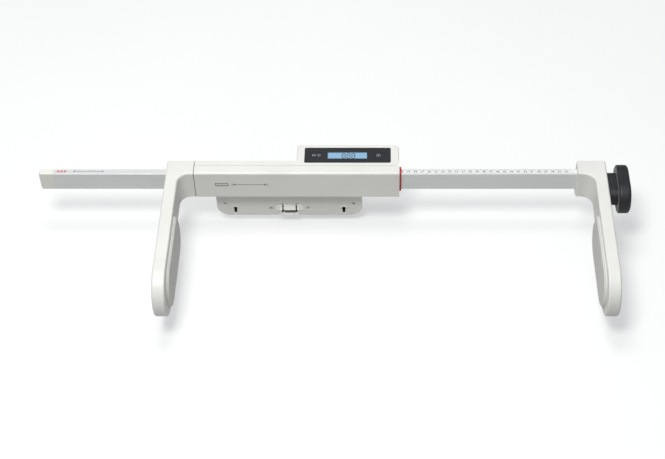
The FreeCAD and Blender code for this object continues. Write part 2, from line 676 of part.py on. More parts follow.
def make_front_housing():
    """Front shell of the housing: front wall, half of top and bottom, and both end walls."""
    shell = new_body("front_housing")
    section = rectangle("body_front", "seam", "body_bottom", "body_top")
    slab(shell, "front_block", "X", "body_left", "body_right", [section])

    dress(shell, "front_top_round", "Fillet", "soft_edge",
          lambda edge: flat_at(edge, "Y", "body_front") and flat_at(edge, "Z", "body_top"))
    dress(shell, "front_bottom_round", "Fillet", 1.5,
          lambda edge: flat_at(edge, "Y", "body_front") and flat_at(edge, "Z", "body_bottom"))
    inside = rectangle("body_front + shell_wall", "seam + 1", "body_bottom + shell_wall", "body_top - shell_wall")
    slab(shell, "front_hollow", "X", "body_left + shell_wall", "body_right - shell_wall", [inside], cut=True)
    bosses = [(x, z, 2.8) for x, z in COVER_SCREWS]
    slab(shell, "front_bosses", "Y", "body_front + 1", "seam", bosses)
    bores = [(x, z, 1.1) for x, z in COVER_SCREWS]
    slab(shell, "front_bores", "Y", "seam - 9", "seam + 1", bores, cut=True)
    opening = rectangle("-rail_depth / 2 - gap", "seam + 1", "rail_bottom - gap", "rail_top + gap")
    slab(shell, "front_opening", "X", "body_left - 1", "body_right + 1", [opening], cut=True)
    front_holes = [place + (1.35,) for place in ARM_SCREWS if place[0] < 0]
    slab(shell, "front_arm_holes", "X", "body_left - 1", "body_left + shell_wall + 1", front_holes, cut=True)
    dress(shell, "front_seam", "Chamfer", "seam_groove", seam_edge)
    return shell


def seam_edge(edge):
    """Whether an edge lies on the outside of the joint between the two shells."""
    outside = flat_at(edge, "Z", "body_top") or flat_at(edge, "Z", "body_bottom")
    return flat_at(edge, "Y", "seam") and outside


def add_pod(cover):
    """The display pod: round rear corners, and a flare where its left side meets the housing."""
    outline = [
        ("pod_left - 5", "seam + 2"),
        ("pod_right", "seam + 2"),
        ("pod_right", "pod_back - 6"),
        ("pod_right - 6", "pod_back", "left", 6),
        ("pod_left + 6", "pod_back"),
        ("pod_left", "pod_back - 6", "left", 6),
        ("pod_left", "body_back + 5"),
        ("pod_left - 5", "body_back", "right", 5),
    ]
    slab(cover, "pod_block", "Z", "pod_bottom", "body_top", [outline])

    def rim(edge):
        level = flat_at(edge, "Z", "body_top") or flat_at(edge, "Z", "pod_bottom")
        return level and edge.BoundBox.YMax > size("body_back") + 0.1

    dress(cover, "pod_round", "Fillet", 1.8, rim)


def make_rear_cover():
    """Rear shell of the housing, in one piece with the display pod."""
    cover = new_body("rear_cover")
    add_pod(cover)
    section = rectangle("seam", "body_back", "body_bottom", "body_top")
    slab(cover, "rear_block", "X", "body_left", "body_right", [section])
    inside = rectangle("seam - 1", "body_back - shell_wall", "body_bottom + shell_wall", "body_top - shell_wall")
    slab(cover, "rear_hollow", "X", "body_left + shell_wall", "body_right - shell_wall", [inside], cut=True)
    pod_inside = rectangle("pod_left + shell_wall", "pod_right - shell_wall", 8, "pod_back - shell_wall")
    slab(cover, "pod_hollow", "Z", "pod_bottom + 2.2", "panel_seat - 1.2", [pod_inside], cut=True)
    add_cover_bosses(cover)
    add_plate_bosses(cover)
    add_board_posts(cover)
    opening = rectangle("seam - 1", "rail_depth / 2 + gap", "rail_bottom - gap", "rail_top + gap")
    slab(cover, "rear_opening", "X", "body_left - 1", "body_right + 1", [opening], cut=True)
    notch = rectangle("rail_depth / 2", "rail_depth / 2 + 3.2", 56.3, 66.7)
    slab(cover, "rear_notch", "X", "body_left - 1", "body_left + shell_wall + 1", [notch], cut=True)
    rear_holes = [place + (1.35,) for place in ARM_SCREWS if place[0] > 0]
    slab(cover, "rear_arm_holes", "X", "body_left - 1", "body_left + shell_wall + 1", rear_holes, cut=True)
    dress(cover, "rear_seam", "Chamfer", "seam_groove", seam_edge)
    cut_display_seat(cover)
    cut_battery_opening(cover)
    return cover


def add_cover_bosses(cover):
    bosses = [(x, z, 2.8) for x, z in COVER_SCREWS]
    slab(cover, "rear_bosses", "Y", "seam", "body_back - 1", bosses)
    holes = [(x, z, 1.3) for x, z in COVER_SCREWS]
    slab(cover, "rear_bores", "Y", "seam - 1", "body_back + 1", holes, cut=True)
    sinks = [(x, z, 2.5) for x, z in COVER_SCREWS]
    slab(cover, "rear_sinks", "Y", "body_back - 1.7", "body_back + 1", sinks, cut=True)


def add_plate_bosses(cover):
    bosses = [(x, 8.6, 2.8) for x in PLATE_SCREWS]
    slab(cover, "plate_bosses", "Z", "body_bottom + 1", "rail_bottom - 1", bosses)
    bores = [(x, 8.6, 1.25) for x in PLATE_SCREWS]
    slab(cover, "plate_bores", "Z", "body_bottom - 1", "rail_bottom - 2", bores, cut=True)


def add_board_posts(cover):
    """Posts for the sensor board on the rear wall and for the main board under the pod's top."""
    posts = [(x, "(rail_bottom + rail_top) / 2", 2.6) for x in SENSOR_SCREWS]
    slab(cover, "sensor_posts", "Y", 9, "body_back - 1", posts)
    bores = [(x, "(rail_bottom + rail_top) / 2", 0.95) for x in SENSOR_SCREWS]
    slab(cover, "sensor_bores", "Y", 8, "body_back - 1", bores, cut=True)
    posts = [place + (2.6,) for place in BOARD_SCREWS]
    slab(cover, "board_posts", "Z", BOARD_TOP, "panel_seat - 1", posts)
    bores = [place + (0.95,) for place in BOARD_SCREWS]
    slab(cover, "board_bores", "Z", BOARD_TOP - 1, "panel_seat - 1", bores, cut=True)


def key_outline(middle, margin):
    return rounded("%s - key_width / 2 - %s" % (middle, margin), "%s + key_width / 2 + %s" % (middle, margin),
                   "key_row - key_depth / 2 - %s" % margin, "key_row + key_depth / 2 + %s" % margin, 2)


def cut_display_seat(cover):
    """Recess for the panel, with openings for the display and the two keys."""
    seat = rounded("panel_left", "panel_right", "panel_front", "panel_back", 2.5)
    slab(cover, "panel_recess", "Z", "panel_seat", "body_top + 1", [seat], cut=True)
    glass = rectangle("window_left - 3.5", "window_right + 3.5", "window_front - 3.5", "window_back + 3.5")
    keys = [key_outline(middle, "key_play") for middle in ("hold_middle", "start_middle")]
    slab(cover, "panel_openings", "Z", "panel_seat - 2", "panel_seat + 1", [glass] + keys, cut=True)


def cut_battery_opening(cover):
    """Opening in the pod's floor, with pin holes for the door."""
    opening = rectangle("door_left", "door_right", "door_front", "door_back")
    slab(cover, "battery_opening", "Z", "pod_bottom - 1", "pod_bottom + 2.4", [opening], cut=True)
    pivot = ("door_front + door_play + 1", "pod_bottom + 1", 0.8)
    slab(cover, "door_pivots", "X", "door_left - 1.6", "door_right + 1.6", [pivot], cut=True)


def make_cover_screws():
    pattern = new_screw("cover_screw_pattern", 2.2, 1.4, 1.05, 15)
    places = [(x, "body_back - 1.7", z) for x, z in COVER_SCREWS]
    return repeat("cover_screws", pattern, places, (0, 1, 0))


def make_arm_screws():
    pattern = new_screw("arm_screw_pattern", 1.9, 1.4, 1.15, 10)
    places = [("body_left + shell_wall", y, z) for y, z in ARM_SCREWS]
    return repeat("arm_screws", pattern, places, (1, 0, 0))


def make_glide(name, left, right):
    """Low-friction frame that guides the rail inside the housing."""
    glide = new_body(name)
    outside = rounded("body_front + shell_wall + 0.05", "body_back - shell_wall - 0.05",
                      "body_bottom + shell_wall + 0.05", "body_top - shell_wall - 0.05", 0.6)
    inside = rectangle("-rail_depth / 2 - 0.08", "rail_depth / 2 + 0.08", "rail_bottom - 0.08", "rail_top + 0.08")
    slab(glide, name + "_frame", "X", left, right, [outside, inside])
    return glide


def make_brake_pad():
    """Felt block that gives the rail its even drag."""
    return new_box("brake_pad", (37, 57), (-3.5, 3.5), ("body_bottom + shell_wall + 3.5", "rail_bottom - 0.05"))


def make_brake_spring():
    """Arched leaf spring under the felt."""
    spring = new_body("brake_spring")
    floor = "body_bottom + shell_wall"
    leaf = [
        (58, floor),
        (36, floor, "left", 20.0),
        (36.8, floor),
        (57.2, floor, "right", 18.2),
    ]
    slab(spring, "spring_leaf", "Y", -3, 3, [leaf])
    return spring


def make_index_ring():
    """Red ring that marks where the rail is read."""
    ring = new_body("index_ring")
    outside = rounded("-rail_depth / 2 - 2", "rail_depth / 2 + 2", "rail_bottom - 3.2", "rail_top + 4.2", 2.4)
    inside = rectangle("-rail_depth / 2 - 0.35", "rail_depth / 2 + 0.35", "rail_bottom - 0.35", "rail_top + 0.35")
    slab(ring, "ring_frame", "X", "body_right", "body_right + 2.6", [outside, inside])
    dress(ring, "ring_round", "Fillet", 0.6,
          lambda edge: flat_at(edge, "X", "body_right + 2.6") and ring_outside(edge))
    return ring


def ring_outside(edge):
    box = edge.BoundBox
    wide = box.YMax > size("rail_depth / 2 + 0.5") or box.YMin < size("-rail_depth / 2 - 0.5")
    return wide


# ---------------------------------------------------------------- electronics

def make_sensor_board():
    board = new_body("sensor_board")
    slab(board, "sensor_sheet", "Y", 8, 9, [rounded(-90, 10, 52, 71, 1)])
    holes = [(x, "(rail_bottom + rail_top) / 2", 1.15) for x in SENSOR_SCREWS]
    slab(board, "sensor_holes", "Y", 7, 10, holes, cut=True)
    return board


def make_sensor_chips():
    """Reading head, controller and connector on the front of the sensor board."""
    ranges = (((-62, -50), (58, 65)), ((-36, -24), (58, 65)), ((-14, -6), (55, 63)))
    chips = []
    for number, (x_range, z_range) in enumerate(ranges):
        chips.append(new_box("sensor_chip_%d" % (number + 1), x_range, (6.3, 8), z_range))
    return group("sensor_chips", chips)


def make_main_board():
    board = new_body("main_board")
    slab(board, "main_sheet", "Z", BOARD_TOP - 1.2, BOARD_TOP, [rounded(20, 155, 15, 42.5, 1)])
    holes = [place + (1.15,) for place in BOARD_SCREWS]
    slab(board, "main_holes", "Z", BOARD_TOP - 2, BOARD_TOP + 1, holes, cut=True)
    return board


def make_board_screws():
    """Two screws for the sensor board and four for the main board."""
    pattern = new_screw("board_screw_pattern", 1.8, 1.2, 0.9, 3.8)
    sensor = [(x, 8, "(rail_bottom + rail_top) / 2") for x in SENSOR_SCREWS]
    main = [place + (BOARD_TOP - 1.2,) for place in BOARD_SCREWS]
    front = repeat("sensor_board_screws", pattern, sensor, (0, -1, 0))
    below = repeat("main_board_screws", pattern, main, (0, 0, -1))
    return group("board_screws", [front, below])


def make_ribbon_cable():
    """Flat cable from the sensor board up to the main board."""
    low = new_box("ribbon_low", (10, 26), (8.3, 8.7), (60, 68))
    riser = new_box("ribbon_riser", (20, 26), (8.3, 8.7), (60, BOARD_TOP - 0.6))
    upper = new_box("ribbon_upper", (20, 26), (8.3, 15), (BOARD_TOP - 0.9, BOARD_TOP - 0.5))
    return fuse("ribbon_cable", [low, riser, upper])


def make_tact_switches():
    bodies = []
    for name, middle in (("hold", "hold_middle"), ("start", "start_middle")):
        box = new_box(name + "_switch", ("%s - 3" % middle, "%s + 3" % middle), ("key_row - 3", "key_row + 3"),
                      (BOARD_TOP, BOARD_TOP + 1.2))
        bodies.append(box)
    return group("tact_switches", bodies)


def make_lcd_module():
    return new_box("lcd_module", ("window_left - 3", "window_right + 3"), ("window_front - 3", "window_back + 3"),
                   (BOARD_TOP, "panel_seat - 0.1"))


def make_display_panel():
    """Glossy black panel with openings for the window and the keys."""
    panel = new_body("display_panel")
    face = rounded("panel_left", "panel_right", "panel_front", "panel_back", 2.5)
    slab(panel, "panel_sheet", "Z", "panel_seat", "panel_face", [face])
    window = rectangle("window_left", "window_right", "window_front", "window_back")
    keys = [key_outline(middle, "key_play") for middle in ("hold_middle", "start_middle")]
    slab(panel, "panel_cutouts", "Z", "panel_seat - 1", "panel_face + 1", [window] + keys, cut=True)
    return panel


def make_lcd_window():
    return new_box("lcd_window", ("window_left", "window_right"), ("window_front", "window_back"),
                   ("panel_seat", "panel_face - 0.05"))


def make_key(name, middle):
    """Flush key cap with a flange that keeps it in and a stem over its switch."""
    key = new_body(name)
    slab(key, name + "_cap", "Z", "panel_seat - 1.4", "panel_face - 0.1", [key_outline(middle, 0)])
    slab(key, name + "_flange", "Z", "panel_seat - 2.3", "panel_seat - 1.4", [key_outline(middle, 1)])
    slab(key, name + "_stem", "Z", BOARD_TOP + 1.8, "panel_seat - 2.3", [(middle, "key_row", 1.75)])
    return key


# ---------------------------------------------------------------- battery compartment

def make_battery_tray():
    """Inverted channel over the two cells, with an end wall at each side."""
    tray = new_body("battery_tray")
    outside = rectangle(TRAY_LEFT, TRAY_RIGHT, 20, 39)
    slab(tray, "tray_block", "Z", "pod_bottom + 2.6", BOARD_TOP - 2.6, [outside])
    inside = rectangle("%s + 1.8" % TRAY_LEFT, "%s - 1.8" % TRAY_RIGHT, 21.8, 37.2)
    slab(tray, "tray_hollow", "Z", "pod_bottom + 2", CELL_LEVEL + 7.4, [inside], cut=True)
    return tray


def make_batteries():
    """Two AA cells in line."""
    cells = []
    for number in range(2):
        start = "%s + 5 + %d * cell_length" % (TRAY_LEFT, number)
        can = new_cylinder("cell_can_%d" % number, "X", start, "%s + cell_length - 1" % start,
                           (CELL_MIDDLE, CELL_LEVEL), "cell_radius")
        nub = new_cylinder("cell_nub_%d" % number, "X", "%s + cell_length - 1.2" % start, "%s + cell_length" % start,
                           (CELL_MIDDLE, CELL_LEVEL), 2.7)
        cells.append(fuse("cell_%d" % (number + 1), [can, nub]))
    return group("batteries", cells)


def make_battery_contacts():
    """A bowed leaf contact at the left end and a flat one at the right end."""
    wide = (CELL_MIDDLE - 6, CELL_MIDDLE + 6)
    tall = (CELL_LEVEL - 6, CELL_LEVEL + 6)
    left = new_box("contact_left", ("%s + 1.8" % TRAY_LEFT, "%s + 2.2" % TRAY_LEFT), wide, tall)
    right = new_box("contact_right", ("%s - 2.2" % TRAY_RIGHT, "%s - 1.8" % TRAY_RIGHT), wide, tall)
    leaf = new_body("contact_leaf")
    plate = "%s + 2.2" % TRAY_LEFT
    bow = [
        (plate, CELL_LEVEL - 5),
        (plate, CELL_LEVEL + 5, "left", 6.2),
        (plate, CELL_LEVEL + 4.4),
        (plate, CELL_LEVEL - 4.4, "right", 5.6),
    ]
    slab(leaf, "leaf_strip", "Y", CELL_MIDDLE - 2, CELL_MIDDLE + 2, [bow])
    return group("battery_contacts", [left, right, leaf])


def make_battery_door():
    """Door in the pod's floor. It swings down on two stub pins at its front edge."""
    door = new_body("battery_door")
    sheet = rectangle("door_left + door_play", "door_right - door_play", "door_front + door_play",
                      "door_back - door_play")
    slab(door, "door_sheet", "Z", "pod_bottom", "pod_bottom + 2", [sheet])

    def front_edge(edge):
        return flat_at(edge, "Y", "door_front + door_play") and edge.BoundBox.XLength > 10

    dress(door, "door_round", "Fillet", 0.95, front_edge)
    stub = ("door_front + door_play + 1", "pod_bottom + 1", 0.72)
    slab(door, "door_stub_left", "X", "door_left - 1.4", "door_left + 2", [stub])
    slab(door, "door_stub_right", "X", "door_right - 2", "door_right + 1.4", [stub])
    finger = rounded(79.5, 95.5, "door_back - 9", "door_back - 4", 2.4)
    slab(door, "door_finger_dip", "Z", "pod_bottom - 1", "pod_bottom + 0.8", [finger], cut=True)
    return door


# ---------------------------------------------------------------- mount plate and latch

def stud_rooms():
    """Outlines of the spaces behind the keyholes where the heads of the studs slide."""
    return [rectangle("%s - keyhole_room" % side, "%s + keyhole_room" % side, "-keyhole_drop - 2", 4.5)
            for side in ("-keyhole_half", "keyhole_half")]


def make_mount_plate():
    """Plate under the housing with two keyholes, a latch opening and a flange for its screws."""
    plate = new_body("mount_plate")
    outline = [
        ("plate_half - plate_corner", "plate_bottom"),
        ("plate_half", "plate_bottom + plate_corner", "left", "plate_corner"),
        ("plate_half", "body_bottom"),
        ("-plate_half", "body_bottom"),
        ("-plate_half", "plate_bottom + plate_corner"),
        ("-plate_half + plate_corner", "plate_bottom", "left", "plate_corner"),
    ]
    slab(plate, "plate_sheet", "Y", 0, "plate_thickness", [outline])
    dress(plate, "plate_edge", "Fillet", 0.8,
          lambda edge: flat_at(edge, "Y", 0) and not flat_at(edge, "Z", "body_bottom"))
    flange = rectangle("-plate_half", "plate_half", "plate_thickness - 1", 13.5)
    slab(plate, "plate_flange", "Z", "body_bottom - 2.5", "body_bottom", [flange])
    rims = [(side, 0, "keyhole_radius + 2") for side in ("-keyhole_half", "keyhole_half")]
    slab(plate, "keyhole_rims", "Y", -0.8, 1, rims)
    dress(plate, "rim_round", "Fillet", 0.5, lambda edge: flat_at(edge, "Y", -0.8))
    rounds = [(side, 0, "keyhole_radius") for side in ("-keyhole_half", "keyhole_half")]
    slab(plate, "keyhole_rounds", "Y", -2, "plate_thickness + 1", rounds, cut=True)
    slots = [rounded("%s - keyhole_slot" % side, "%s + keyhole_slot" % side, "-keyhole_drop", 0, "keyhole_slot * 0.98")
             for side in ("-keyhole_half", "keyhole_half")]
    slab(plate, "keyhole_slots", "Y", -2, "plate_thickness + 1", slots, cut=True)
    slab(plate, "stud_rooms", "Y", "keyhole_wall", "plate_thickness + 1", stud_rooms(), cut=True)
    window = rectangle("-latch_post - 0.1", "latch_post + 0.1", -13.6, 7.4)
    slab(plate, "latch_opening", "Y", -1, "plate_thickness + 1", [window], cut=True)
    holes = [place + (1.4,) for place in FACE_SCREWS] + [(-10.7, 9.5, 1.4), (10.7, 9.5, 1.4)]
    slab(plate, "face_holes", "Y", -1, "plate_thickness + 1", holes, cut=True)
    sinks = [place + (2.7,) for place in FACE_SCREWS]
    slab(plate, "face_sinks", "Y", -1, FACE_SEAT, sinks, cut=True)
    flange_holes = [(x, 8.6, 1.4) for x in PLATE_SCREWS]
    slab(plate, "flange_holes", "Z", "body_bottom - 4", "body_bottom + 1", flange_holes, cut=True)
    return plate


def make_backing_plate():
    """Steel plate that stiffens the mount plate from behind."""
    plate = new_body("backing_plate")
    outline = rounded("-plate_half + 5", "plate_half - 5", "plate_bottom + 1", "body_bottom - 4", 14)
    slab(plate, "backing_sheet", "Y", "plate_thickness", "plate_thickness + 1.5", [outline])
    slab(plate, "backing_rooms", "Y", "plate_thickness - 1", "plate_thickness + 3", stud_rooms(), cut=True)
    notch = rectangle("-latch_post - 0.1", "latch_post + 0.1", -20, 7.4)
    slab(plate, "backing_notch", "Y", "plate_thickness - 1", "plate_thickness + 3", [notch], cut=True)
    holes = [place + (1.15,) for place in FACE_SCREWS]
    slab(plate, "backing_holes", "Y", "plate_thickness - 1", "plate_thickness + 3", holes, cut=True)
    return plate


def make_keyhole_cups():
    """Two closed cups behind the keyholes. The heads of the studs slide inside them."""
    cups = []
    for number, (side, room) in enumerate(zip(("-keyhole_half", "keyhole_half"), stud_rooms())):
        cup = new_body("keyhole_cup_%d" % (number + 1))
        back = "plate_thickness + 1.5"
        outline = rounded("%s - keyhole_room - 2" % side, "%s + keyhole_room + 2" % side, "-keyhole_drop - 3.6", 6.5, 1.5)
        slab(cup, "cup_block_%d" % number, "Y", back, "%s + 5" % back, [outline])
        slab(cup, "cup_room_%d" % number, "Y", "%s - 1" % back, "%s + 3.8" % back, [room], cut=True)
        cups.append(cup)
    return group("keyhole_cups", cups)


def make_face_screws():
    pattern = new_screw("face_screw_pattern", 2.4, 1.4, 1.1, 6)
    places = [(x, FACE_SEAT, z) for x, z in FACE_SCREWS]
    return repeat("face_screws", pattern, places, (0, -1, 0))


def make_plate_screws():
    pattern = new_screw("plate_screw_pattern", 2.6, 1.6, 1.2, 8)
    places = [(x, 8.6, "body_bottom - 2.5") for x in PLATE_SCREWS]
    return repeat("plate_screws", pattern, places, (0, 0, -1))


def make_latch_frame():
    """Moulded frame round the latch tongue: two wings, two sloped cheeks, and a lip below the catch recess."""
    frame = new_body("latch_frame")
    slab(frame, "frame_wings", "Y", -0.9, 0, [rounded(-20.5, 20.5, -5.5, 6.2, 5)])
    dress(frame, "wing_slope", "Chamfer", 0.7, lambda edge: flat_at(edge, "Y", -0.9))
    front = [
        (0, 5.0), (-2.6, -1.5), (-2.6, -2.9), (-1.7, -5.0), (-1.7, -14.6), (-1.0, -15.3), (0, -15.3),
    ]
    slab(frame, "frame_front", "X", "-latch_half", "latch_half", [front])
    slab(frame, "frame_inside", "Y", -0.1, "plate_thickness", [rectangle("-latch_post", "latch_post", -13.5, 7.3)])

    def cheek_edge(edge):
        beside = flat_at(edge, "X", "latch_half") or flat_at(edge, "X", "-latch_half")
        return beside and edge.BoundBox.YMin < -1.5 and edge.BoundBox.ZLength > 5

    dress(frame, "cheek_round", "Fillet", 0.5, cheek_edge)
    window = rectangle("-latch_window", "latch_window", -2.7, 9)
    slab(frame, "frame_window", "Y", -7, "plate_thickness + 1", [window], cut=True)
    recess = rectangle("-latch_half + 1.5", "latch_half - 1.5", -11.6, -2.6)
    slab(frame, "catch_recess", "Y", -7, "plate_thickness + 1", [recess], cut=True)
    slab(frame, "pin_bores", "X", "-latch_window - 2", "latch_window + 2",
         [("latch_pin_back", "latch_pin_height", 0.85)], cut=True)
    return frame


def make_latch_housing():
    """Closed box behind the plate that backs the tongue, with two screwed wings."""
    box = new_body("latch_housing")
    back = "plate_thickness + 1.5"
    slab(box, "box_block", "Y", back, "%s + 9" % back, [rounded(-14.5, 14.5, -15, 11, 1.5)])
    wings = rounded(-32, 32, -5.5, 6.5, 3)
    slab(box, "box_wings", "Y", back, "%s + 3" % back, [wings])
    slab(box, "box_hollow", "Y", "%s - 1" % back, "%s + 7.5" % back, [rectangle(-12.2, 12.2, -13, 8.4)], cut=True)
    bores = [place + (1.1,) for place in FACE_SCREWS[2:]]
    slab(box, "box_bores", "Y", "%s - 1" % back, "%s + 4" % back, bores, cut=True)
    return box


def make_latch_pin():
    return new_cylinder("latch_pin", "X", "-latch_window - 1.9", "latch_window + 1.9",
                        ("latch_pin_back", "latch_pin_height"), 0.8)


def make_latch_tongue():
    """Sprung catch: a knuckle on the pin and a ramp that ends in a step."""
    tongue = new_body("latch_tongue")
    side = [
        ("latch_pin_back + 1.7", "latch_pin_height"),
        ("latch_pin_back", "latch_pin_height + 1.7", "left", 1.7),
        (0.9, "latch_pin_height + 1.7"),
        (-0.2, "latch_pin_height + 0.8"),
        (-0.3, "latch_pin_height - 0.2"),
        (-2.6, -1.5),
        (-2.6, -2.3),
        (-0.6, -2.3),
        (2.6, 1.2),
    ]
    slab(tongue, "tongue_wedge", "X", "-latch_tongue", "latch_tongue", [side])
    slab(tongue, "tongue_bore", "X", "-latch_window", "latch_window",
         [("latch_pin_back", "latch_pin_height", 0.86)], cut=True)
    notch = rectangle(0.75, 8, "latch_pin_height - 1.6", 9)
    slab(tongue, "spring_room", "X", -4, 4, [notch], cut=True)
    return tongue


def make_latch_spring():
    """Torsion spring wound round the pin in the middle of the tongue."""
    return new_coil("latch_spring", ("-2.4", "latch_pin_back", "latch_pin_height"), (1, 0, 0), 1.15, 0.2, 0.8, 6)


# ---------------------------------------------------------------- shared places

ARM_SCREWS = [(-8.0, 42.2), (-8.0, 80.8), (9.2, 42.2), (9.2, 80.8)]
GRIP_SCREWS = [(-8.5, "(rail_bottom + rail_top) / 2"), (-31.5, "(rail_bottom + rail_top) / 2")]
COVER_SCREWS = [(-90, 80.3), (-20, 80.3), (-60, 42.7), (66, 42.7), (120, 42.7)]
PLATE_SCREWS = [-95, -30, 30, 95]
FACE_SCREWS = [(-96, 10.3), (96, 10.3), (-27.7, 0.4), (27.7, 0.4)]
FACE_SEAT = 2.0
SENSOR_SCREWS = [-84, 4]
BOARD_SCREWS = [(25, 18), (150, 18), (25, 39), (150, 39)]
BOARD_TOP = 78.2
CELL_MIDDLE = 29.5
CELL_LEVEL = 67.5
TRAY_LEFT = "(pod_left + pod_right) / 2 - cell_length - 5.5"
TRAY_RIGHT = "(pod_left + pod_right) / 2 + cell_length + 5.5"


def make_all():
    return [
        make_rail(), make_rail_end_cap(), make_scale_tape(), make_encoder_strip(), make_rail_stop(),
        make_stop_screw(), make_rail_inserts(), make_foot_arm(),
        make_pad("foot_pad", "foot_outer - arm_thickness", -1),
        make_foot_screws(), make_handle_core(), make_handle_grip(), make_handle_screws(),
        make_front_housing(), make_rear_cover(), make_cover_screws(),
        make_glide("left_glide", -128.8, -108), make_glide("right_glide", 138, 160.4),
        make_brake_pad(), make_brake_spring(), make_index_ring(),
        make_head_arm(), make_pad("head_pad", "head_outer + arm_thickness", 1), make_arm_screws(),
        make_sensor_board(), make_sensor_chips(), make_main_board(), make_board_screws(), make_ribbon_cable(),
        make_tact_switches(), make_lcd_module(), make_display_panel(), make_lcd_window(),
        make_key("hold_key", "hold_middle"), make_key("start_key", "start_middle"),
        make_battery_tray(), make_batteries(), make_battery_contacts(), make_battery_door(),
        make_mount_plate(), make_backing_plate(), make_keyhole_cups(), make_face_screws(), make_plate_screws(),
        make_latch_frame(), make_latch_housing(), make_latch_pin(), make_latch_tongue(), make_latch_spring(),
    ]


def check_and_write(nodes):
    """Stop on any failed object, then write one file per sub-part."""
    doc.recompute()
    for item in doc.Objects:
        if "Invalid" in item.State or "Error" in item.State:
            raise RuntimeError("%s is %s" % (item.Label, item.State))
    for node in nodes:
        if node.Shape.isNull() or not node.Shape.isValid():
            raise RuntimeError("%s has no valid shape" % node.Label)
    os.makedirs("parts", exist_ok=True)
    for node in nodes:
        node.Shape.exportStep("parts/%s.step" % node.Label)
    print("wrote %d sub-parts" % len(nodes))


sheet = make_sheet()
check_and_write(make_all())
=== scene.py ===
import bmesh
import bpy
import json
import math
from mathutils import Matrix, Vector


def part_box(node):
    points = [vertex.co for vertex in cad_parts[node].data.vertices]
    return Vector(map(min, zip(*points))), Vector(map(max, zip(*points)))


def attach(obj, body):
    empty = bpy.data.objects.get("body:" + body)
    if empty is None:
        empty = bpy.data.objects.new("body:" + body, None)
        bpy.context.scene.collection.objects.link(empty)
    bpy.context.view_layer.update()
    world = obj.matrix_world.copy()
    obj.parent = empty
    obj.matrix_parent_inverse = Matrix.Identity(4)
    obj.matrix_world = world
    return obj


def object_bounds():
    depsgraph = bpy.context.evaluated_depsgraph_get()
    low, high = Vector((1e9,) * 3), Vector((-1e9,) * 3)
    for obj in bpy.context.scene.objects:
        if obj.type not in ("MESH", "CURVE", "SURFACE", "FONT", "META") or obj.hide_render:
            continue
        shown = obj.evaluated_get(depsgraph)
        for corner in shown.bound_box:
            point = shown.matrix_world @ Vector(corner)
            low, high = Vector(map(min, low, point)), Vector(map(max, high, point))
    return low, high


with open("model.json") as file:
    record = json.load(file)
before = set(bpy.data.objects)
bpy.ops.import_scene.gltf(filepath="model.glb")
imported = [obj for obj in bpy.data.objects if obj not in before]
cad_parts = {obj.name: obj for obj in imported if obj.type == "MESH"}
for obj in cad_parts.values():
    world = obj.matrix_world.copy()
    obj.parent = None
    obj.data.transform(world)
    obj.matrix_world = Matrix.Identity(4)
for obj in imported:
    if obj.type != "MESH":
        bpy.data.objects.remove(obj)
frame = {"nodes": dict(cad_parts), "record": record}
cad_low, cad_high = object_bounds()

# Infant length measuring rod: materials, printed graphics, dark strips of painted shade in the joints,
# light and camera for the CAD frame.
# X runs along the rail, the infant lies on the -Y side and Z is up. The origin is between the keyholes.
# The frame is in metres. The graphics are drawn in millimetres, and MM turns those into metres.

MM = 0.001
ACROSS = (1, 0, 0)
BACK = (0, 1, 0)
UP = (0, 0, 1)

# Colours of the main plastics and of the darkest print.
WHITE = (0.80, 0.80, 0.765)
BLACK = (0.017, 0.0175, 0.021)
DARK_INK = (0.045, 0.047, 0.055)

# The scale's readings, in millimetres between the pads.
FIRST_READING = 350
LAST_READING = 800
READING_AT_REST = 596

# Length and half width of the scale's ticks, in millimetres.
CENTIMETRE_TICK = (2.1, 0.17)
HALF_CENTIMETRE_TICK = (1.6, 0.10)
MILLIMETRE_TICK = (1.1, 0.08)

# Texture scales of fine lines: drawn along X, and cut along Z.
DRAWN_LINES = (5, 1400, 1400)
CUT_LINES = (900, 900, 40)

# Print, and the dark strips of painted shade in the joints.
INK_THICKNESS = 0.03 * MM
FONT_SIZE_PER_DIGIT_HEIGHT = 1.37

# Floor, sky and lights. Powers are in watts. The sky goes from its low to its high strength between
# two heights of a direction, where 0 is level and 1 is straight up.
FLOOR_DROP = 14 * MM
FLOOR_GLOW = 0.465
FLOOR_GLOW_COLOUR = (0.975, 0.993, 1.0, 1)
SKY_COLOUR = (0.93, 0.97, 1.0, 1)
SKY_LOW = 0.045
SKY_HIGH = 0.44
SKY_FADE_FROM = 0.05
SKY_FADE_TO = 0.8
BACKDROP = 0.66
KEY_POWER = 40
TOP_POWER = 17
LIGHT_COLOUR = (1.0, 0.99, 0.97)
LIGHT_TARGET = (0.07, -0.05, 0.05)


# ---------------------------------------------------------------- shader helpers

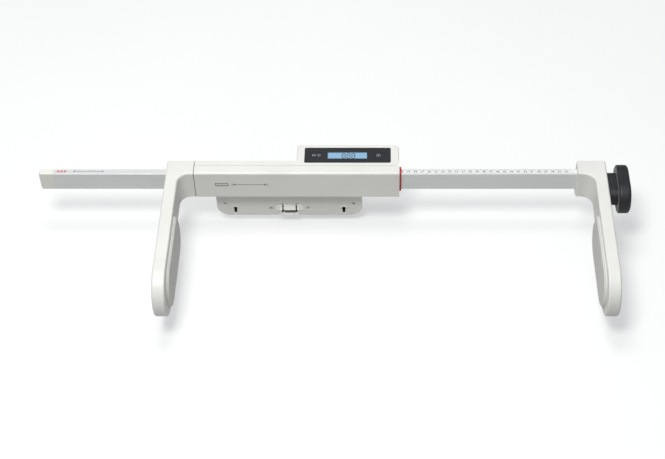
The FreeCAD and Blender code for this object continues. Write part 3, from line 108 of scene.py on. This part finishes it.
class Shader:
    """A material's node tree, with short calls for its nodes. Place is the object's coordinates."""

    def __init__(self, name):
        self.material = bpy.data.materials.new(name)
        self.material.use_nodes = True
        self.tree = self.material.node_tree
        self.surface = self.tree.nodes["Principled BSDF"]
        self.place = self.add("ShaderNodeTexCoord").outputs["Object"]

    def add(self, kind):
        return self.tree.nodes.new(kind)

    def link(self, source, target):
        self.tree.links.new(source, target)

    def stretched(self, x, y, z):
        """Object coordinates scaled unevenly, for brushed or drawn surfaces."""
        mapping = self.add("ShaderNodeMapping")
        mapping.inputs["Scale"].default_value = (x, y, z)
        self.link(self.place, mapping.inputs["Vector"])
        return mapping.outputs["Vector"]

    def noise(self, scale, detail=3.0, vector=None, distortion=0.0):
        node = self.add("ShaderNodeTexNoise")
        node.inputs["Scale"].default_value = scale
        node.inputs["Detail"].default_value = detail
        node.inputs["Distortion"].default_value = distortion
        self.link(vector or self.place, node.inputs["Vector"])
        return node.outputs["Fac"]

    def cells(self, scale):
        node = self.add("ShaderNodeTexVoronoi")
        node.inputs["Scale"].default_value = scale
        self.link(self.place, node.inputs["Vector"])
        return node.outputs["Distance"]

    def spread(self, value, low, high, start=0.3, end=0.7):
        """Map a texture's range from start to end onto low to high."""
        node = self.add("ShaderNodeMapRange")
        node.inputs["From Min"].default_value = start
        node.inputs["From Max"].default_value = end
        node.inputs["To Min"].default_value = low
        node.inputs["To Max"].default_value = high
        self.link(value, node.inputs["Value"])
        return node.outputs["Result"]

    def blend(self, value, first, second):
        """Mix two colours, or a colour socket and a colour, by a texture."""
        node = self.add("ShaderNodeMix")
        node.data_type = "RGBA"
        self.link(value, node.inputs["Factor"])
        for socket, colour in (("A", first), ("B", second)):
            target = next(item for item in node.inputs if item.name == socket and item.type == "RGBA")
            if isinstance(colour, tuple):
                target.default_value = colour + (1.0,)
            else:
                self.link(colour, target)
        return next(item for item in node.outputs if item.type == "RGBA")

    def clouded(self, value, colour, dark, light):
        """A colour that varies between a darker and a lighter shade of itself by a texture."""
        return self.blend(self.spread(value, 0, 1), shade(colour, dark), shade(colour, light))

    def bump(self, height, distance, strength, below=None):
        """A bump of a texture's height, on top of another bump if one is given."""
        node = self.add("ShaderNodeBump")
        node.inputs["Distance"].default_value = distance
        node.inputs["Strength"].default_value = strength
        self.link(height, node.inputs["Height"])
        if below:
            self.link(below, node.inputs["Normal"])
        return node.outputs["Normal"]

    def put(self, **sockets):
        """Set or link sockets of the surface shader. An underscore in a name stands for a space."""
        for name, value in sockets.items():
            socket = self.surface.inputs[name.replace("_", " ")]
            if isinstance(value, bpy.types.NodeSocket):
                self.link(value, socket)
            else:
                socket.default_value = value


def shade(colour, factor):
    return tuple(channel * factor for channel in colour)


# ---------------------------------------------------------------- materials

def moulded(name, colour, roughness=0.37, grain=0.011, grain_scale=2600):
    """Injection-moulded plastic: spark-eroded grain, slight flow clouds and handling marks."""
    drift = 0.035
    shader = Shader(name)
    clouds = shader.noise(14, detail=4, distortion=0.4)
    tint = shader.clouded(clouds, colour, 1 - drift, 1 + drift)
    speckle = shader.spread(shader.noise(900, detail=2), 0, 0.35, start=0.5, end=0.75)
    rub = shader.noise(55, detail=6, distortion=1.2)
    grit = shader.cells(grain_scale)
    soft = shader.noise(grain_scale * 0.35)
    coarse = shader.bump(soft, grain * MM, 0.8)
    normal = shader.bump(grit, 0.7 * grain * MM, 0.7, coarse)
    shader.put(Base_Color=shader.blend(speckle, tint, shade(colour, 1 - 2.5 * drift)))
    shader.put(Roughness=shader.spread(rub, roughness - 0.06, roughness + 0.08))
    shader.put(Normal=normal, Specular_IOR_Level=0.42)
    return shader.material


def brushed_metal(name, colour, roughness, metallic, lines=DRAWN_LINES):
    """Bare or anodised metal with the fine lines of its making."""
    shader = Shader(name)
    streaks = shader.noise(1.0, detail=5, vector=shader.stretched(*lines))
    clouds = shader.spread(shader.noise(9), 0, 0.25)
    tint = shader.clouded(streaks, colour, 0.95, 1.05)
    shader.put(Base_Color=shader.blend(clouds, tint, shade(colour, 0.88)))
    shader.put(Roughness=shader.spread(streaks, roughness - 0.06, roughness + 0.08))
    shader.put(Normal=shader.bump(streaks, 0.006 * MM, 0.6), Metallic=metallic)
    return shader.material


def soft_touch(name, colour):
    """Elastomer grip: fine matt grain with a soft sheen and faint lint."""
    shader = Shader(name)
    clouds = shader.noise(22, detail=5, distortion=0.6)
    lint = shader.spread(shader.noise(700, detail=4), 0, 0.10, start=0.62, end=0.78)
    tint = shader.clouded(clouds, colour, 0.8, 1.25)
    shader.put(Base_Color=shader.blend(lint, tint, (0.16, 0.16, 0.17)))
    shader.put(Roughness=shader.spread(clouds, 0.36, 0.5), Sheen_Weight=0.18, Sheen_Roughness=0.4)
    shader.put(Normal=shader.bump(shader.cells(3200), 0.012 * MM, 0.7), Specular_IOR_Level=0.5)
    return shader.material


def glossy(name, colour):
    """Polished plastic with faint wipe marks."""
    shader = Shader(name)
    wipes = shader.noise(30, detail=6, vector=shader.stretched(1.0, 2.6, 1.0), distortion=2.0)
    clouds = shader.noise(10, detail=2)
    ripple = shader.noise(160, detail=2)
    shader.put(Base_Color=shader.clouded(clouds, colour, 0.9, 1.1))
    shader.put(Roughness=shader.spread(wipes, 0.09, 0.21, start=0.45, end=0.75))
    shader.put(Normal=shader.bump(ripple, 0.004 * MM, 0.5), Coat_Weight=0.3, Coat_Roughness=0.05)
    return shader.material


def printed_film(name, colour):
    """White scale film: satin laminate with a fine orange-peel surface."""
    shader = Shader(name)
    shader.put(Base_Color=shader.clouded(shader.noise(25), colour, 0.97, 1.02))
    shader.put(Roughness=shader.spread(shader.noise(120, detail=4), 0.28, 0.4))
    shader.put(Normal=shader.bump(shader.noise(1100, detail=2), 0.004 * MM, 0.5))
    return shader.material


def ink(name, colour):
    """Pad-printed ink with uneven cover."""
    shader = Shader(name)
    shader.put(Base_Color=shader.clouded(shader.noise(1800), colour, 0.8, 1.2))
    shader.put(Roughness=0.5, Specular_IOR_Level=0.3)
    return shader.material


def backlit_crystal(name, colour):
    """Blue liquid crystal: a soft, uneven backlight and a fine pixel raster."""
    shader = Shader(name)
    glow = shader.noise(38, detail=2)
    raster = shader.spread(shader.cells(1500), 0, 0.12)
    tint = shader.clouded(glow, colour, 0.94, 1.06)
    final = shader.blend(raster, tint, shade(colour, 0.8))
    shader.put(Base_Color=final, Roughness=shader.spread(glow, 0.3, 0.4))
    shader.put(Emission_Color=final, Emission_Strength=0.05)
    return shader.material


def clear_window(name):
    """Hard-coated window: mostly see-through, with faint smudges in its gloss."""
    shader = Shader(name)
    wipes = shader.noise(60, detail=5, distortion=1.5)
    tint = shader.blend(shader.spread(wipes, 0, 1), (0.86, 0.93, 0.98), (0.92, 0.96, 1.0))
    shader.put(Base_Color=tint, Roughness=shader.spread(wipes, 0.03, 0.12), Alpha=0.05)
    return shader.material


def plated_steel(name, colour, roughness):
    """Plated or bright steel: fine tool marks and cloudy patches of a warmer tone."""
    shader = Shader(name)
    clouds = shader.noise(420, detail=4, distortion=0.8)
    marks = shader.noise(1.0, detail=4, vector=shader.stretched(700, 90, 2500))
    tint = shader.blend(shader.spread(clouds, 0, 1), shade(colour, 0.8), (0.62, 0.60, 0.55))
    shader.put(Base_Color=tint, Metallic=1.0)
    shader.put(Roughness=shader.spread(marks, roughness, roughness + 0.16))
    shader.put(Normal=shader.bump(marks, 0.006 * MM, 0.6))
    return shader.material


def pressed_felt(name, colour):
    """Wool felt: matted fibres."""
    shader = Shader(name)
    fibres = shader.noise(1.0, detail=8, vector=shader.stretched(2600, 700, 1500), distortion=3.0)
    shader.put(Base_Color=shader.clouded(fibres, colour, 0.6, 1.5), Roughness=0.95, Sheen_Weight=0.6)
    shader.put(Normal=shader.bump(fibres, 0.15 * MM, 0.9))
    return shader.material


def circuit_laminate(name, colour):
    """Solder mask over copper: faint tracks under a green gloss."""
    shader = Shader(name)
    tracks = shader.add("ShaderNodeTexBrick")
    tracks.inputs["Scale"].default_value = 260
    tracks.inputs["Mortar Size"].default_value = 0.08
    shader.link(shader.place, tracks.inputs["Vector"])
    shader.put(Base_Color=shader.blend(tracks.outputs["Fac"], shade(colour, 0.8), shade(colour, 1.7)))
    shader.put(Roughness=shader.spread(shader.noise(200), 0.2, 0.35))
    shader.put(Normal=shader.bump(tracks.outputs["Fac"], 0.02 * MM, 0.5))
    return shader.material


def cell_wrapper(name, colour):
    """Battery sleeve: dark film with a metallic shimmer and fine wrinkles."""
    shader = Shader(name)
    shader.put(Base_Color=shader.clouded(shader.noise(60), colour, 0.85, 1.2), Metallic=0.4)
    shader.put(Roughness=shader.spread(shader.noise(300), 0.25, 0.4))
    shader.put(Normal=shader.bump(shader.noise(500, detail=2), 0.01 * MM, 0.5))
    return shader.material


def make_materials():
    """One finish for each of the record's material slots. Grain depths are in millimetres."""
    return {
        "aluminium": brushed_metal("anodised_aluminium", (0.81, 0.82, 0.825), 0.42, metallic=0.32),
        "aluminium_block": brushed_metal("machined_aluminium", (0.6, 0.61, 0.62), 0.32, 0.95, CUT_LINES),
        "cap_ivory": moulded("ivory_cap", (0.83, 0.83, 0.77), roughness=0.45),
        "scale_tape": printed_film("scale_film", (0.82, 0.83, 0.83)),
        "magnet_strip": moulded("magnet_strip", (0.03, 0.03, 0.033), roughness=0.5, grain=0.006),
        "dark_plastic": moulded("dark_plastic", (0.035, 0.036, 0.04), 0.5, grain=0.02, grain_scale=1800),
        "steel": plated_steel("zinc_screws", (0.56, 0.56, 0.57), roughness=0.3),
        "coated_steel": moulded("black_coated_steel", (0.025, 0.025, 0.027), 0.5, 0.03, grain_scale=1200),
        "spring_steel": plated_steel("spring_steel", (0.66, 0.66, 0.67), roughness=0.2),
        "white_moulding": moulded("white_moulding", WHITE),
        "pad_moulding": moulded("pad_moulding", shade(WHITE, 0.85), roughness=0.46, grain=0.013),
        "plate_moulding": moulded("plate_moulding", (0.80, 0.80, 0.76), roughness=0.45, grain=0.014),
        # The latch plastic is whiter than the plate: painted light, standing in for the light that falls on
        # its upward-facing ramp and cheeks.
        "latch_moulding": moulded("latch_moulding", (0.96, 0.96, 0.93), roughness=0.30, grain=0.006),
        "soft_grip": soft_touch("soft_grip", BLACK),
        "glide_plastic": moulded("glide_acetal", (0.7, 0.7, 0.68), roughness=0.35, grain=0.006),
        "felt": pressed_felt("brake_felt", (0.12, 0.12, 0.125)),
        "red_ring": moulded("red_ring", (0.64, 0.022, 0.008), roughness=0.34, grain=0.006),
        "circuit_board": circuit_laminate("circuit_laminate", (0.01, 0.07, 0.025)),
        "chip_black": moulded("chip_epoxy", (0.025, 0.025, 0.027), 0.55, grain=0.01, grain_scale=4000),
        "ribbon_cable": moulded("ribbon_cable", (0.32, 0.33, 0.35), 0.4, grain=0.01, grain_scale=1500),
        "lcd_module": backlit_crystal("lcd_crystal", (0.20, 0.43, 0.63)),
        "panel_black": glossy("panel_black", (0.020, 0.021, 0.027)),
        "window_clear": clear_window("window_clear"),
        "cell_sleeve": cell_wrapper("cell_sleeve", (0.05, 0.07, 0.1)),
    }


def dress_nodes(finishes):
    """Give every CAD node the finish of its slot."""
    for part in frame["record"]["subparts"]:
        node = frame["nodes"][part["node"]]
        node.data.materials.clear()
        node.data.materials.append(finishes[part["material_slot"]])


# ---------------------------------------------------------------- pieces

def box_in_mm(node):
    """A node's lowest and highest corners at rest, in millimetres."""
    low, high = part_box(node)
    return low / MM, high / MM


def add_piece(name, mesh, material, body):
    """Turn a closed bmesh into a piece that rides on a body."""
    bmesh.ops.recalc_face_normals(mesh, faces=mesh.faces)
    data = bpy.data.meshes.new(name)
    mesh.to_mesh(data)
    mesh.free()
    data.materials.append(material)
    piece = bpy.data.objects.new(name, data)
    bpy.context.scene.collection.objects.link(piece)
    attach(piece, body)


class Print:
    """Thin flat shapes on one surface, drawn in millimetres across it and up it."""

    def __init__(self, origin, across, up):
        self.origin = Vector(origin)
        self.across = Vector(across)
        self.up = Vector(up)
        self.lift = self.across.cross(self.up) * INK_THICKNESS
        self.mesh = bmesh.new()

    def shape(self, corners):
        """A filled outline of (across, up) corners."""
        places = [self.origin + (self.across * x + self.up * y) * MM for x, y in corners]
        base = [self.mesh.verts.new(place) for place in places]
        top = [self.mesh.verts.new(vertex.co + self.lift) for vertex in base]
        self.mesh.faces.new(list(reversed(base)))
        self.mesh.faces.new(top)
        for number in range(len(base)):
            after = (number + 1) % len(base)
            self.mesh.faces.new((base[number], base[after], top[after], top[number]))

    def bar(self, left, right, bottom, top):
        self.shape([(left, bottom), (right, bottom), (right, top), (left, top)])

    def ring(self, x, y, outer, inner, steps):
        """A ring, drawn as short pieces."""
        angles = [math.radians(360.0 * step / steps) for step in range(steps + 1)]
        for first, second in zip(angles, angles[1:]):
            self.shape([
                (x + inner * math.cos(first), y + inner * math.sin(first)),
                (x + outer * math.cos(first), y + outer * math.sin(first)),
                (x + outer * math.cos(second), y + outer * math.sin(second)),
                (x + inner * math.cos(second), y + inner * math.sin(second)),
            ])

    def number(self, value, x, y, height):
        """A whole number in the built-in font, centred at a place."""
        curve = bpy.data.curves.new("digits", "FONT")
        curve.body = str(value)
        curve.align_x = "CENTER"
        curve.align_y = "CENTER"
        curve.size = height * FONT_SIZE_PER_DIGIT_HEIGHT
        curve.resolution_u = 3
        item = bpy.data.objects.new("digits", curve)
        bpy.context.scene.collection.objects.link(item)
        bpy.context.view_layer.update()
        flat = bpy.data.meshes.new_from_object(item)
        for face in flat.polygons:
            corners = [flat.vertices[index].co for index in face.vertices]
            self.shape([(x + corner.x, y + corner.y) for corner in corners])
        bpy.data.objects.remove(item)

    def arrow(self, left, right, level, half, head):
        """A level line with an arrow head at each end. Half and head are their half heights."""
        self.bar(left + 1.6 * head, right - 1.6 * head, level - half, level + half)
        for tip, base in ((left, left + 1.8 * head), (right, right - 1.8 * head)):
            self.shape([(tip, level), (base, level - head), (base, level + head)])

    def finish(self, name, material, body, slot):
        add_piece(name, self.mesh, material, body)


def print_from_above(height):
    """A print on a level face at a height in metres. Its coordinates are the object's x and y."""
    return Print((0, 0, height), ACROSS, BACK)


def print_from_front(depth):
    """A print on an upright face at a y in metres, seen from the front. Its coordinates are x and z."""
    return Print((0, depth, 0), ACROSS, UP)


# ---------------------------------------------------------------- printed graphics

def print_scale(dark):
    """Centimetre numbers with millimetre ticks along the rear edge of the scale film."""
    edge_margin, end_margin = 0.15, 0.3
    number_height, right_of_tick, number_inset = 4.0, 4.7, 4.1
    low, high = box_in_mm("scale_tape")
    left, right, back = low.x + end_margin, high.x - end_margin, high.y - edge_margin
    zero = box_in_mm("index_ring")[1].x + READING_AT_REST
    sheet = print_from_above(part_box("scale_tape")[1].z)
    for reading in range(FIRST_READING, LAST_READING + 1):
        x = zero - reading
        if not left < x < right:
            continue
        if reading % 10 == 0:
            length, half = CENTIMETRE_TICK
        elif reading % 5 == 0:
            length, half = HALF_CENTIMETRE_TICK
        else:
            length, half = MILLIMETRE_TICK
        sheet.bar(x - half, x + half, back - length, back)
        if reading % 10 == 0 and reading > FIRST_READING:
            sheet.number(reading // 10, x + right_of_tick, back - number_inset, number_height)
    sheet.finish("scale_print", dark, "rail_unit", "scale_tape")


def print_rail_marks(red, grey):
    """Three red chevrons and a small dimension line in the groove near the rail's left end."""
    rail_end = box_in_mm("rail")[0].x
    groove_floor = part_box("scale_tape")[0].z
    middle = 0.9

    half, reach, stroke = 1.8, 4.8, 2.6
    chevrons = print_from_above(groove_floor)
    for number in range(3):
        start = rail_end + 5.0 + number * reach
        tip = start + reach
        for edge in (middle - half, middle + half):
            chevrons.shape([(start, edge), (start + stroke, edge), (tip, middle), (tip - stroke, middle)])
    chevrons.finish("rail_chevrons", red, "rail_unit", "red_ring")

    left, right = rail_end + 29, rail_end + 74
    half_line, half_tick, short_tick, long_tick = 0.3, 0.28, 1.4, 1.9
    line = print_from_above(groove_floor)
    line.arrow(left, right, middle, half_line, 1.5)
    for step in range(1, 10):
        x = left + (right - left) * step / 10
        tick = long_tick if step == 5 else short_tick
        line.bar(x - half_tick, x + half_tick, middle + half_line, middle + tick)
    line.finish("rail_dimension_mark", grey, "rail_unit", "scale_tape")


def print_housing_mark(dark, grey):
    """A small ruler and a dimension arrow on the housing's front."""
    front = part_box("front_housing")[0].y
    level = 62.7

    left, right, bottom, top, line = -105, -86, level - 3.0, level + 3.0, 1.0
    half_tick, short_tick, long_tick = 0.45, 2.8, 3.6
    ruler = print_from_front(front)
    ruler.bar(left, right, bottom, bottom + line)
    ruler.bar(left, right, top - line, top)
    ruler.bar(left, left + line, bottom + line, top - line)
    ruler.bar(right - line, right, bottom + line, top - line)
    for step in range(1, 6):
        x = left + (right - left) * step / 6
        tick = long_tick if step == 3 else short_tick
        ruler.bar(x - half_tick, x + half_tick, bottom + line, bottom + tick)
    ruler.finish("front_ruler_mark", dark, "housing", "white_moulding")

    left, right, stop, half_stop, gap = -81, -29, 0.8, 2.8, 1.2
    arrow = print_from_front(front)
    arrow.arrow(left + gap, right - gap, level, 0.45, 2.1)
    for x in (left, right - stop):
        arrow.bar(x, x + stop, level - half_stop, level + half_stop)
    arrow.finish("front_dimension_mark", grey, "housing", "white_moulding")


# The ends of a digit's seven segments, as shares of its width and height.
SEGMENTS = [
    ((0, 1), (1, 1)),
    ((0, 0.5), (0, 1)),
    ((1, 0.5), (1, 1)),
    ((0, 0.5), (1, 0.5)),
    ((0, 0), (0, 0.5)),
    ((1, 0), (1, 0.5)),
    ((0, 0), (1, 0)),
]


def print_eight(sheet, left, bottom, width, height, half):
    """One seven-segment 8. Half is half the thickness of a segment, whose ends are pointed."""
    for (x0, y0), (x1, y1) in SEGMENTS:
        start = Vector((left + x0 * width, bottom + y0 * height))
        end = Vector((left + x1 * width, bottom + y1 * height))
        along = (end - start).normalized()
        side = Vector((-along.y, along.x)) * half
        gap = along * half * 0.35
        tip = along * half
        start, end = start + gap, end - gap
        outline = [start, start + tip - side, end - tip - side, end, end - tip + side, start + tip + side]
        sheet.shape([(point.x, point.y) for point in outline])


def print_display(dark):
    """Three seven-segment digits on the liquid crystal."""
    middle_x, middle_y = 89.0, 25.3
    width, height, pitch, half = 4.4, 9.6, 7.0, 0.62
    sheet = print_from_above(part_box("lcd_module")[1].z)
    for number in (-1, 0, 1):
        left = middle_x + number * pitch - width / 2
        print_eight(sheet, left, middle_y - height / 2, width, height, half)
    sheet.finish("display_digits", dark, "housing", "lcd_module")


def key_print(key):
    """A print on a key, and the x and y of the key's middle."""
    low, high = box_in_mm(key)
    return print_from_above(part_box(key)[1].z), (low.x + high.x) / 2, (low.y + high.y) / 2


def print_keys(light):
    """On the left key a hold symbol, two bars and a ring with a stroke. On the right key a start symbol."""
    hold, x, y = key_print("hold_key")
    for left in (x - 5.4, x - 2.2):
        hold.bar(left, left + 1.1, y - 2.1, y + 2.1)
    hold.ring(x + 4.2, y, 2.3, 1.75, steps=28)
    hold.bar(x + 3.9, x + 4.5, y - 0.2, y + 3.0)
    hold.finish("hold_key_symbol", light, "hold_key", "panel_black")
    start, x, y = key_print("start_key")
    start.ring(x, y, 3.0, 2.55, steps=36)
    start.shape([(x - 0.9, y - 1.4), (x + 1.6, y), (x - 0.9, y + 1.4)])
    start.finish("start_key_symbol", light, "start_key", "panel_black")


def make_graphics():
    dark = ink("dark_ink", DARK_INK)
    grey = ink("grey_ink", (0.16, 0.165, 0.175))
    print_scale(dark)
    print_rail_marks(ink("red_ink", (0.62, 0.05, 0.02)), grey)
    print_housing_mark(dark, grey)
    print_display(ink("digit_ink", (0.012, 0.022, 0.045)))
    print_keys(ink("light_ink", (0.36, 0.37, 0.39)))


# ---------------------------------------------------------------- painted shade in the joints

def make_arm_gasket(material):
    """Painted shade: a dark hoop at the bottom of the groove between head arm and housing, sunk below their
    faces, standing in for the shadow in the groove.
    """
    depth, width, thickness = 1.1 * MM, 0.9 * MM, 0.12 * MM
    left, front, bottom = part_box("front_housing")[0]
    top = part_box("front_housing")[1].z
    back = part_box("head_arm")[1].y
    inner, outer = depth, depth - thickness
    mesh = bmesh.new()
    loops = []
    for x, inset in ((left - width, inner), (left - width, outer), (left, outer), (left, inner)):
        loops.append([
            mesh.verts.new((x, front + inset, bottom + inset)),
            mesh.verts.new((x, back - inset, bottom + inset)),
            mesh.verts.new((x, back - inset, top - inset)),
            mesh.verts.new((x, front + inset, top - inset)),
        ])
    for first, second in zip(loops, loops[1:] + loops[:1]):
        for number in range(4):
            after = (number + 1) % 4
            mesh.faces.new((first[number], first[after], second[after], second[number]))
    # The hoop is painted shade: a dark piece where the groove holds only shadow.
    add_piece("arm_groove_painted_shade", mesh, material, "housing")


def make_seam_gaskets(material):
    """Painted shade: dark strips in the joint between the two shells, on the top, the bottom and the right
    end, standing in for the shadow in the joint.
    """
    half, sunk, corner = 0.13, 0.17, 4.5
    low, high = box_in_mm("front_housing")
    seam = high.y
    # Each strip is painted shade: a dark piece where the seam holds only shadow.
    top = print_from_above((high.z - sunk) * MM)
    top.bar(low.x, high.x - corner, seam - half, seam + half)
    top.finish("seam_painted_shade_top", material, "housing", "dark_plastic")
    bottom = Print((0, 0, (low.z + sunk) * MM), ACROSS, (0, -1, 0))
    bottom.bar(low.x, high.x - corner, -seam - half, -seam + half)
    bottom.finish("seam_painted_shade_bottom", material, "housing", "dark_plastic")
    end = Print(((high.x - sunk) * MM, 0, 0), BACK, UP)
    end.bar(seam - half, seam + half, low.z + corner, high.z - corner)
    end.finish("seam_painted_shade_end", material, "housing", "dark_plastic")


# ---------------------------------------------------------------- stage

def make_floor():
    """Pale floor under the object. Part of its paleness is a glow that casts no light on the object."""
    bpy.ops.mesh.primitive_plane_add(size=24, location=(0, 0, cad_low.z - FLOOR_DROP))
    floor = bpy.context.object
    floor.name = "floor"
    shader = Shader("floor")
    clouds = shader.spread(shader.noise(3, detail=2), 0, 1)
    tint = shader.blend(clouds, (0.505, 0.505, 0.505), (0.52, 0.52, 0.52))
    shader.put(Base_Color=tint, Roughness=0.95, Specular_IOR_Level=0.05)
    path = shader.add("ShaderNodeLightPath")
    glow = shader.spread(path.outputs["Is Camera Ray"], 0.0, FLOOR_GLOW, start=0.0, end=1.0)
    shader.put(Emission_Color=FLOOR_GLOW_COLOUR, Emission_Strength=glow)
    floor.data.materials.append(shader.material)


def make_world():
    """Studio surround: bright overhead and dim at the horizon. The camera sees an even pale backdrop."""
    world = bpy.data.worlds.new("studio")
    world.use_nodes = True
    tree = world.node_tree
    background = tree.nodes["Background"]
    background.inputs["Color"].default_value = SKY_COLOUR
    direction = tree.nodes.new("ShaderNodeTexCoord")
    parts = tree.nodes.new("ShaderNodeSeparateXYZ")
    strength = tree.nodes.new("ShaderNodeMapRange")
    strength.inputs["From Min"].default_value = SKY_FADE_FROM
    strength.inputs["From Max"].default_value = SKY_FADE_TO
    strength.inputs["To Min"].default_value = SKY_LOW
    strength.inputs["To Max"].default_value = SKY_HIGH
    tree.links.new(direction.outputs["Generated"], parts.inputs["Vector"])
    tree.links.new(parts.outputs["Z"], strength.inputs["Value"])
    path = tree.nodes.new("ShaderNodeLightPath")
    seen = tree.nodes.new("ShaderNodeMix")
    seen.inputs["B"].default_value = BACKDROP
    tree.links.new(path.outputs["Is Camera Ray"], seen.inputs["Factor"])
    tree.links.new(strength.outputs["Result"], seen.inputs["A"])
    tree.links.new(seen.outputs["Result"], background.inputs["Strength"])
    bpy.context.scene.world = world


def make_light(name, place, size, power):
    """A square soft box that faces the object's middle."""
    data = bpy.data.lights.new(name, "AREA")
    data.shape = "SQUARE"
    data.size = size
    data.energy = power
    data.color = LIGHT_COLOUR
    light = bpy.data.objects.new(name, data)
    light.location = place
    light.rotation_euler = (Vector(LIGHT_TARGET) - Vector(place)).to_track_quat("-Z", "Y").to_euler()
    bpy.context.scene.collection.objects.link(light)


def make_camera():
    """The photographer's view: in front of the object and above it, with a long lens."""
    data = bpy.data.cameras.new("camera")
    data.sensor_width = 36.0
    data.lens = 79.69
    data.shift_x = -0.0774
    camera = bpy.data.objects.new("camera", data)
    camera.location = (0.141, -1.5153, 1.5990)
    camera.rotation_euler = (math.radians(42.623), 0, 0)
    bpy.context.scene.collection.objects.link(camera)
    bpy.context.scene.camera = camera


def make_studio():
    make_floor()
    make_world()
    make_light("key_light", place=(-0.34, -1.02, 2.45), size=0.65, power=KEY_POWER)
    make_light("top_light", place=(-0.12, 0.22, 2.50), size=0.75, power=TOP_POWER)
    make_camera()
    bpy.context.scene.view_settings.view_transform = "Standard"


# ---------------------------------------------------------------- build

finishes = make_materials()
dress_nodes(finishes)
make_graphics()
# Dark strips of painted shade in the arm groove and in the shell seam.
make_arm_gasket(finishes["dark_plastic"])
make_seam_gaskets(finishes["dark_plastic"])
make_studio()
